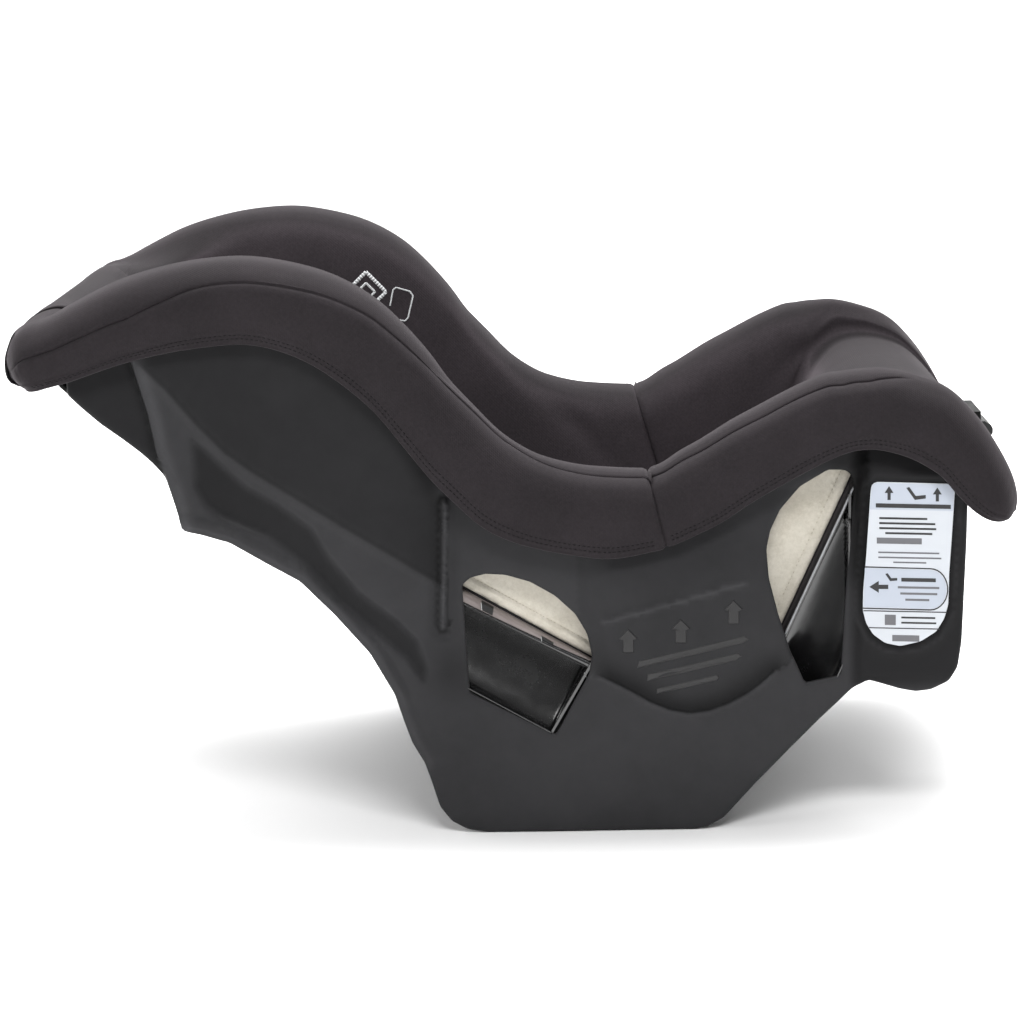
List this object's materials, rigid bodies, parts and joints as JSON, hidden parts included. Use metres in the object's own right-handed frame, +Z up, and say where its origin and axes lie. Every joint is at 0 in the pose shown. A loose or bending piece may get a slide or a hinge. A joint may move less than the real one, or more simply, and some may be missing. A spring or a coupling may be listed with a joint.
{
  "type": "convertible car seat",
  "caption": "Rear-facing convertible child car seat: moulded shell with belt windows, padded knit cover, felt lining, five-point harness, lower anchor and tether straps.",
  "frame": {"origin": "middle of the overall length and width, on the plane of the flat base", "axes": "+X from the head end to the foot end, +Y to the child's left, +Z up, seat standing rear facing on its flat base"},
  "size_m": [0.7639, 0.438, 0.4448],
  "materials": {
    "shell_plastic": "fine moulded texture, charcoal polypropylene",
    "guide_plastic": "polished black",
    "cover_fabric": "brushed knit, warm charcoal",
    "lining_felt": "cream needled felt",
    "wing_foam": "white moulded bead foam",
    "webbing": "woven polyester webbing",
    "steel": "stamped and plated",
    "spring_steel": "drawn wire",
    "trim_plastic": "fine texture",
    "red_plastic": "satin red",
    "grey_plastic": "satin grey",
    "label_film": "printed white film"
  },
  "bodies": {
    "seat": {"adjuster_axle": "steel", "adjuster_housing": "steel", "adjuster_screws": "steel", "adjuster_spring": "spring_steel", "adjuster_strap": "webbing", "anchor_gate_pins": "steel", "anchor_hook_left": "steel", "anchor_hook_right": "steel", "anchor_pod_left": "shell_plastic", "anchor_pod_right": "shell_plastic", "anchor_strap_adjuster": "trim_plastic", "base_frame": "shell_plastic", "belt_guide_back_left": "guide_plastic", "belt_guide_back_right": "guide_plastic", "belt_guide_seat_left": "guide_plastic", "belt_guide_seat_right": "guide_plastic", "buckle_front_casing": "trim_plastic", "buckle_rear_casing": "trim_plastic", "buckle_spring": "spring_steel", "cover_back": "cover_fabric", "cover_seat": "cover_fabric", "cross_walls": "shell_plastic", "crotch_retainer": "steel", "crotch_strap": "webbing", "harness_webbing_left": "webbing", "harness_webbing_right": "webbing", "harness_yoke": "steel", "hip_retainers": "steel", "label_left": "label_film", "label_right": "label_film", "lining_back": "lining_felt", "lining_seat": "lining_felt", "lower_anchor_strap": "webbing", "shell_bucket": "shell_plastic", "shell_rib_left": "shell_plastic", "shell_rib_right": "shell_plastic", "shell_side_left": "shell_plastic", "shell_side_right": "shell_plastic", "tether_adjuster": "steel", "tether_anchor_plate": "steel", "tether_bolt": "steel", "tether_boss": "shell_plastic", "tether_gate_pin": "steel", "tether_hook": "steel", "tether_strap": "webbing", "tongue_left": "steel", "tongue_right": "steel", "wing_foam_left": "wing_foam", "wing_foam_right": "wing_foam"},
    "buckle_button": {"buckle_button": "red_plastic", "buckle_latch": "steel"},
    "chest_clip": {"chest_clip_left": "trim_plastic", "chest_clip_right": "trim_plastic"},
    "chest_clip_button": {"chest_clip_button": "grey_plastic"},
    "adjuster_lever": {"release_lever": "trim_plastic", "adjuster_cam": "steel"},
    "anchor_gate_left": {"anchor_gate_left": "steel"},
    "anchor_gate_right": {"anchor_gate_right": "steel"},
    "tether_gate": {"tether_gate": "steel"},
    "anchor_adjuster_button": {"anchor_adjuster_button": "red_plastic"}
  },
  "joints": [
    {"name": "buckle_button_press", "type": "slide", "parent": "seat", "child": "buckle_button", "axis": [-0.5019, 0, -0.8649], "range_m": [0, 0.003], "stiffness_N_per_m": 4000, "springref_m": -0.003, "deforming": ["buckle_spring"]},
    {"name": "chest_clip_slide", "type": "slide", "parent": "seat", "child": "chest_clip", "axis": [-0.8649, 0, 0.5019], "range_m": [-0.05, 0.08]},
    {"name": "chest_clip_button_press", "type": "slide", "parent": "chest_clip", "child": "chest_clip_button", "axis": [-0.5019, 0, -0.8649], "range_m": [0, 0.0025], "stiffness_N_per_m": 1500, "springref_m": -0.002},
    {"name": "adjuster_lever_lift", "type": "hinge", "parent": "seat", "child": "adjuster_lever", "pos_m": [0.354, 0, 0.2755], "axis": [0, 1, 0], "range_deg": [-18, 0], "stiffness_Nm_per_rad": 0.4, "springref_deg": 11.46, "deforming": ["adjuster_spring"]},
    {"name": "anchor_gate_left_swing", "type": "hinge", "parent": "seat", "child": "anchor_gate_left", "pos_m": [0.2626, 0.175, 0.1788], "axis": [0, 1, 0], "range_deg": [-20, 0], "stiffness_Nm_per_rad": 0.05, "springref_deg": 11.46},
    {"name": "anchor_gate_right_swing", "type": "hinge", "parent": "seat", "child": "anchor_gate_right", "pos_m": [0.2626, -0.175, 0.1788], "axis": [0, 1, 0], "range_deg": [-20, 0], "stiffness_Nm_per_rad": 0.05, "springref_deg": 11.46},
    {"name": "tether_gate_swing", "type": "hinge", "parent": "seat", "child": "tether_gate", "pos_m": [-0.13307, -0.002, 0.18521], "axis": [0.5019, 0, 0.8649], "range_deg": [0, 20], "stiffness_Nm_per_rad": 0.05, "springref_deg": -11.46},
    {"name": "anchor_adjuster_press", "type": "slide", "parent": "seat", "child": "anchor_adjuster_button", "axis": [0, 0, -1], "range_m": [0, 0.0025], "stiffness_N_per_m": 1500, "springref_m": -0.002}
  ]
}
